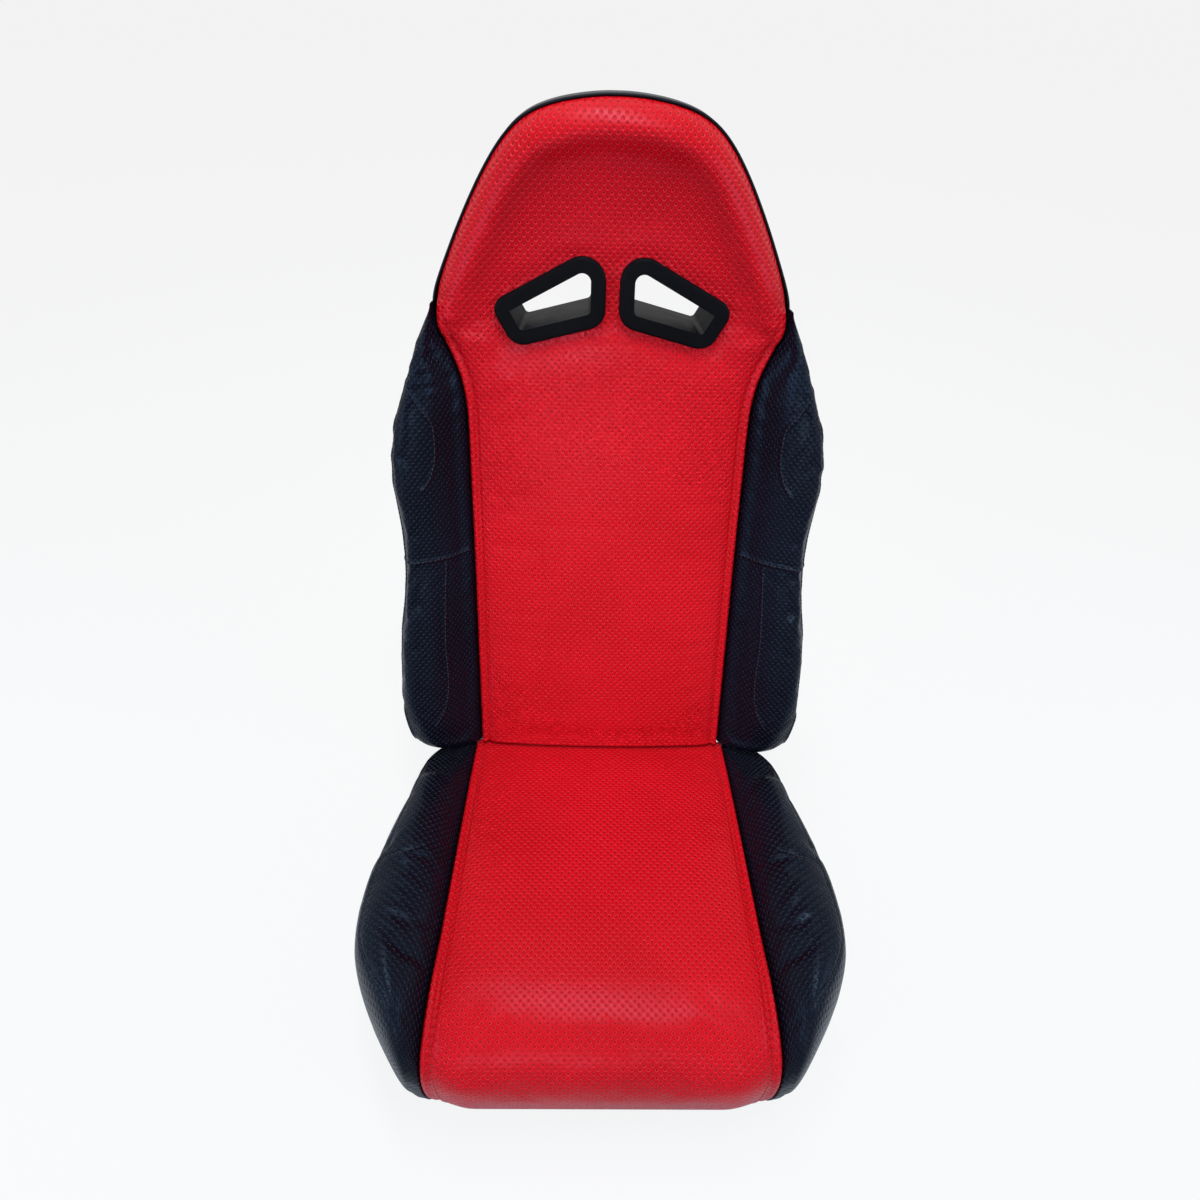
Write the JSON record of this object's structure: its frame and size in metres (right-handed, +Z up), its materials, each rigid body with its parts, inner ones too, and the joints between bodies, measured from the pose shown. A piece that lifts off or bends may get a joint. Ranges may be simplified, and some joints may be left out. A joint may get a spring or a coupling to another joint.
{
  "type": "racing seat",
  "caption": "Upholstered racing seat with harness slots on a tube frame, carried on latched slide rails with a lift-up release bar.",
  "frame": {"origin": "on the floor, at the centre of the four floor bolts of the slide rails", "axes": "+X to the right seen from the front, the occupant faces -Y, +Z up"},
  "size_m": [0.4858, 0.658, 0.8223],
  "materials": {
    "red_vinyl": "perforated satin",
    "black_vinyl": "perforated satin",
    "black_plastic": "fine texture",
    "nylon": "matte",
    "black_steel": "powder coat",
    "zinc_steel": "zinc plated",
    "spring_steel": "oiled",
    "felt": "needle felt",
    "elastic_webbing": "woven",
    "grip_rubber": "matte"
  },
  "bodies": {
    "floor_rails": {"lower_rail_left": "zinc_steel", "lower_rail_right": "zinc_steel"},
    "seat": {"base_center_pad": "red_vinyl", "back_center_pad": "red_vinyl", "base_bolster_left": "black_vinyl", "base_bolster_right": "black_vinyl", "back_bolster_left": "black_vinyl", "back_bolster_right": "black_vinyl", "rear_cover": "black_vinyl", "harness_bezel_front_left": "black_plastic", "harness_bezel_front_right": "black_plastic", "harness_bezel_rear_left": "black_plastic", "harness_bezel_rear_right": "black_plastic", "cover_rivets": "black_plastic", "glide_shoes_left": "nylon", "glide_shoes_right": "nylon", "base_frame": "black_steel", "base_cross_tubes": "black_steel", "back_frame": "black_steel", "back_cross_tubes": "black_steel", "side_bracket_left": "black_steel", "side_bracket_right": "black_steel", "frame_saddles": "black_steel", "upper_rail_left": "zinc_steel", "upper_rail_right": "zinc_steel", "saddle_bolts": "zinc_steel", "saddle_nuts": "zinc_steel", "bracket_bolts": "zinc_steel", "bracket_nuts": "zinc_steel", "release_pivots": "zinc_steel", "spring_clips": "zinc_steel", "bezel_screws": "zinc_steel", "seat_springs": "spring_steel", "return_springs": "spring_steel", "spring_felt": "felt", "back_straps": "elastic_webbing"},
    "release_lever": {"release_bar": "black_steel", "release_grip": "grip_rubber", "latch_plate_left": "zinc_steel", "latch_plate_right": "zinc_steel"}
  },
  "joints": [
    {"name": "seat_slide", "type": "slide", "parent": "floor_rails", "child": "seat", "axis": [0, -1, 0], "range_m": [-0.055, 0.055]},
    {"name": "release_bar_lift", "type": "hinge", "parent": "seat", "child": "release_lever", "pos_m": [0, 0.06, 0.025], "axis": [-1, 0, 0], "range_deg": [0, 2.4], "stiffness_Nm_per_rad": 4, "springref_deg": -5.73}
  ]
}
